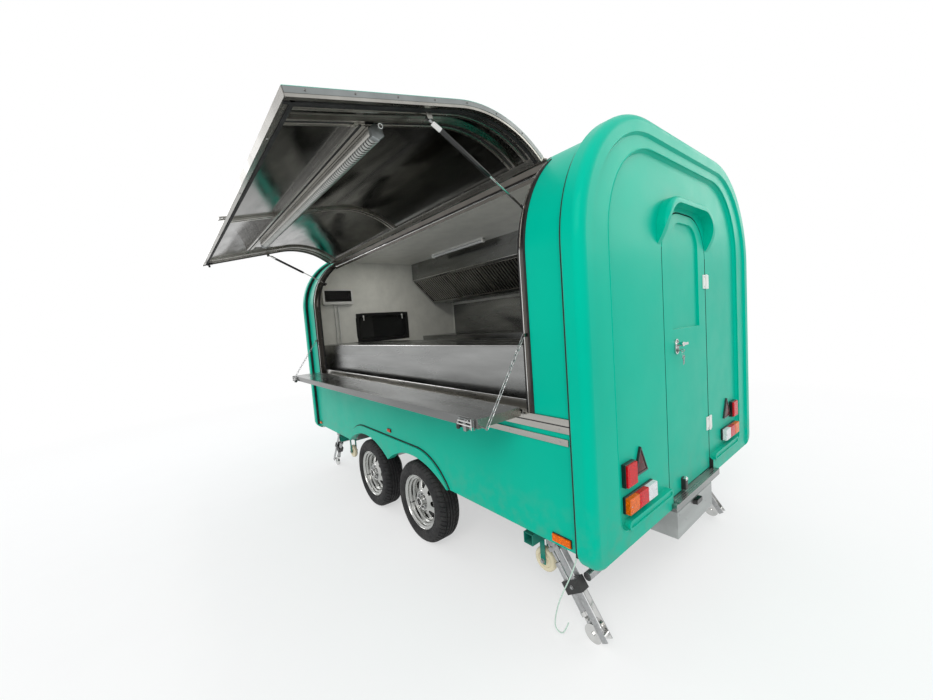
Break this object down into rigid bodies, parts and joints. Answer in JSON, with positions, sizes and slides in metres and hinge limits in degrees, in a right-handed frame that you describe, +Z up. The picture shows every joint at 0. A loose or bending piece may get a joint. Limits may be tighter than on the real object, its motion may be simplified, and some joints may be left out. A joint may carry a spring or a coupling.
{
  "type": "food trailer",
  "caption": "Tandem-axle concession food trailer with moulded end caps, a lift-up serving hatch on gas struts, a folding shelf on chains and a rear door",
  "frame": {"origin": "bottom centre of the whole object's box, on the ground", "axes": "+X forward to the drawbar, +Y left to the serving side, +Z up"},
  "size_m": [4.798, 3.1146, 2.465],
  "materials": {
    "teal_panel": "satin",
    "chassis_paint": "satin",
    "galvanised": "matte",
    "stainless": "brushed",
    "window_trim": "satin",
    "glass": "clear",
    "floor_board": "matte",
    "tyre": "matte",
    "rim_chrome": "polished",
    "black_plastic": "satin",
    "lamp_lens": "gloss",
    "castor_cream": "satin",
    "jockey_rubber": "matte",
    "wire_sheath": "satin"
  },
  "bodies": {
    "root": {"axles": "galvanised", "bench_left": "stainless", "bench_right": "stainless", "cap_front": "teal_panel", "cap_rear": "teal_panel", "ceiling_light": "window_trim", "chassis": "chassis_paint", "corner_panels_left": "teal_panel", "coupling_head": "galvanised", "door_sill": "stainless", "fenders": "teal_panel", "floor_panel": "floor_board", "fuse_box": "window_trim", "hinge_frames": "window_trim", "hood": "stainless", "hood_filters": "stainless", "jockey_clamp": "galvanised", "lamps": "lamp_lens", "leg_mounts": "galvanised", "loose_wire": "wire_sheath", "opening_frame": "stainless", "plate_box": "galvanised", "roof_panel": "teal_panel", "side_panel_left": "teal_panel", "side_wall_right": "teal_panel", "sill_rails": "stainless", "window_frame": "window_trim", "window_glass": "glass"},
    "hatch": {"hatch_skin": "teal_panel", "hatch_frame": "stainless", "hatch_light": "window_trim"},
    "strut_tube_rear": {"strut_tube_rear": "black_plastic"},
    "strut_rod_rear": {"strut_rod_rear": "rim_chrome"},
    "strut_tube_front": {"strut_tube_front": "black_plastic"},
    "strut_rod_front": {"strut_rod_front": "rim_chrome"},
    "shelf": {"shelf_board": "stainless"},
    "chain_rear": {"chain_rear": "rim_chrome"},
    "chain_front": {"chain_front": "rim_chrome"},
    "door": {"door_panel": "teal_panel", "door_hinges": "window_trim", "door_lock": "stainless", "door_latch": "black_plastic"},
    "wheel_front_left": {"tyre_front_left": "tyre", "rim_front_left": "rim_chrome"},
    "wheel_front_right": {"tyre_front_right": "tyre", "rim_front_right": "rim_chrome"},
    "wheel_rear_left": {"tyre_rear_left": "tyre", "rim_rear_left": "rim_chrome"},
    "wheel_rear_right": {"tyre_rear_right": "tyre", "rim_rear_right": "rim_chrome"},
    "castor_rear_left": {"castor_rear_left": "castor_cream"},
    "castor_rear_right": {"castor_rear_right": "castor_cream"},
    "castor_front_left": {"castor_front_left": "castor_cream"},
    "castor_front_right": {"castor_front_right": "castor_cream"},
    "leg_rear_left": {"leg_rear_left": "galvanised"},
    "leg_rear_right": {"leg_rear_right": "galvanised"},
    "leg_front_left": {"leg_front_left": "galvanised"},
    "leg_front_right": {"leg_front_right": "galvanised"},
    "jockey_stem": {"jockey_stem": "galvanised"},
    "jockey_wheel": {"jockey_wheel": "jockey_rubber"}
  },
  "joints": [
    {"name": "hatch_lift", "type": "hinge", "parent": "root", "child": "hatch", "pos_m": [-0.547, 0.33566, 2.32269], "axis": [1, 0, 0], "range_deg": [-76, 0]},
    {"name": "strut_pivot_rear", "type": "hinge", "parent": "hatch", "child": "strut_tube_rear", "pos_m": [-1.971, 0.98679, 2.36032], "axis": [1, 0, 0], "range_deg": [-31, 0]},
    {"name": "strut_slide_rear", "type": "slide", "parent": "strut_tube_rear", "child": "strut_rod_rear", "axis": [0, -0.8889, -0.4582], "range_m": [-0.21, 0]},
    {"name": "strut_pivot_front", "type": "hinge", "parent": "hatch", "child": "strut_tube_front", "pos_m": [0.877, 0.98679, 2.36032], "axis": [1, 0, 0], "range_deg": [-31, 0]},
    {"name": "strut_slide_front", "type": "slide", "parent": "strut_tube_front", "child": "strut_rod_front", "axis": [0, -0.8889, -0.4582], "range_m": [-0.21, 0]},
    {"name": "shelf_hinge", "type": "hinge", "parent": "root", "child": "shelf", "pos_m": [-0.547, 0.5937, 1.134], "axis": [1, 0, 0], "range_deg": [0, 90]},
    {"name": "chain_swing_rear", "type": "hinge", "parent": "root", "child": "chain_rear", "pos_m": [-2.045, 0.5957, 1.48], "axis": [1, 0, 0], "range_deg": [-32.5, 0]},
    {"name": "chain_swing_front", "type": "hinge", "parent": "root", "child": "chain_front", "pos_m": [0.951, 0.5957, 1.48], "axis": [1, 0, 0], "range_deg": [-32.5, 0]},
    {"name": "door_hinge", "type": "hinge", "parent": "root", "child": "door", "pos_m": [-2.349, -0.7758, 1.25], "axis": [0, 0, 1], "range_deg": [0, 90]},
    {"name": "wheel_front_left_spin", "type": "hinge", "parent": "root", "child": "wheel_front_left", "pos_m": [-0.139, 0.4902, 0.292], "axis": [0, 1, 0], "continuous": true},
    {"name": "wheel_front_right_spin", "type": "hinge", "parent": "root", "child": "wheel_front_right", "pos_m": [-0.139, -1.4348, 0.292], "axis": [0, 1, 0], "continuous": true},
    {"name": "wheel_rear_left_spin", "type": "hinge", "parent": "root", "child": "wheel_rear_left", "pos_m": [-0.915, 0.4902, 0.292], "axis": [0, 1, 0], "continuous": true},
    {"name": "wheel_rear_right_spin", "type": "hinge", "parent": "root", "child": "wheel_rear_right", "pos_m": [-0.915, -1.4348, 0.292], "axis": [0, 1, 0], "continuous": true},
    {"name": "castor_rear_left_spin", "type": "hinge", "parent": "root", "child": "castor_rear_left", "pos_m": [-1.927, 0.3927, 0.255], "axis": [0, 1, 0], "continuous": true},
    {"name": "castor_rear_right_spin", "type": "hinge", "parent": "root", "child": "castor_rear_right", "pos_m": [-1.927, -1.3373, 0.255], "axis": [0, 1, 0], "continuous": true},
    {"name": "castor_front_left_spin", "type": "hinge", "parent": "root", "child": "castor_front_left", "pos_m": [0.703, 0.3927, 0.255], "axis": [0, 1, 0], "continuous": true},
    {"name": "castor_front_right_spin", "type": "hinge", "parent": "root", "child": "castor_front_right", "pos_m": [0.703, -1.3373, 0.255], "axis": [0, 1, 0], "continuous": true},
    {"name": "leg_rear_left_fold", "type": "hinge", "parent": "root", "child": "leg_rear_left", "pos_m": [-2.027, 0.4327, 0.425], "axis": [0, 1, 0], "range_deg": [0, 45]},
    {"name": "leg_rear_right_fold", "type": "hinge", "parent": "root", "child": "leg_rear_right", "pos_m": [-2.027, -1.1373, 0.425], "axis": [0, 1, 0], "range_deg": [0, 45]},
    {"name": "leg_front_left_fold", "type": "hinge", "parent": "root", "child": "leg_front_left", "pos_m": [0.933, 0.4327, 0.425], "axis": [0, -1, 0], "range_deg": [0, 45]},
    {"name": "leg_front_right_fold", "type": "hinge", "parent": "root", "child": "leg_front_right", "pos_m": [0.933, -1.3773, 0.425], "axis": [0, -1, 0], "range_deg": [0, 45]},
    {"name": "jockey_lift", "type": "slide", "parent": "root", "child": "jockey_stem", "axis": [0, 0, 1], "range_m": [0, 0.15]},
    {"name": "jockey_spin", "type": "hinge", "parent": "jockey_stem", "child": "jockey_wheel", "pos_m": [1.898, -0.4723, 0.1], "axis": [0, 1, 0], "continuous": true}
  ],
  "couplings": [
    {"joint": "strut_pivot_rear", "follows": "hatch_lift", "ratio": 0.39422},
    {"joint": "strut_slide_rear", "follows": "hatch_lift", "m_per_rad": 0.15701},
    {"joint": "strut_pivot_front", "follows": "hatch_lift", "ratio": 0.39422},
    {"joint": "strut_slide_front", "follows": "hatch_lift", "m_per_rad": 0.15701},
    {"joint": "chain_swing_rear", "follows": "shelf_hinge", "ratio": -0.3557},
    {"joint": "chain_swing_front", "follows": "shelf_hinge", "ratio": -0.3557}
  ]
}
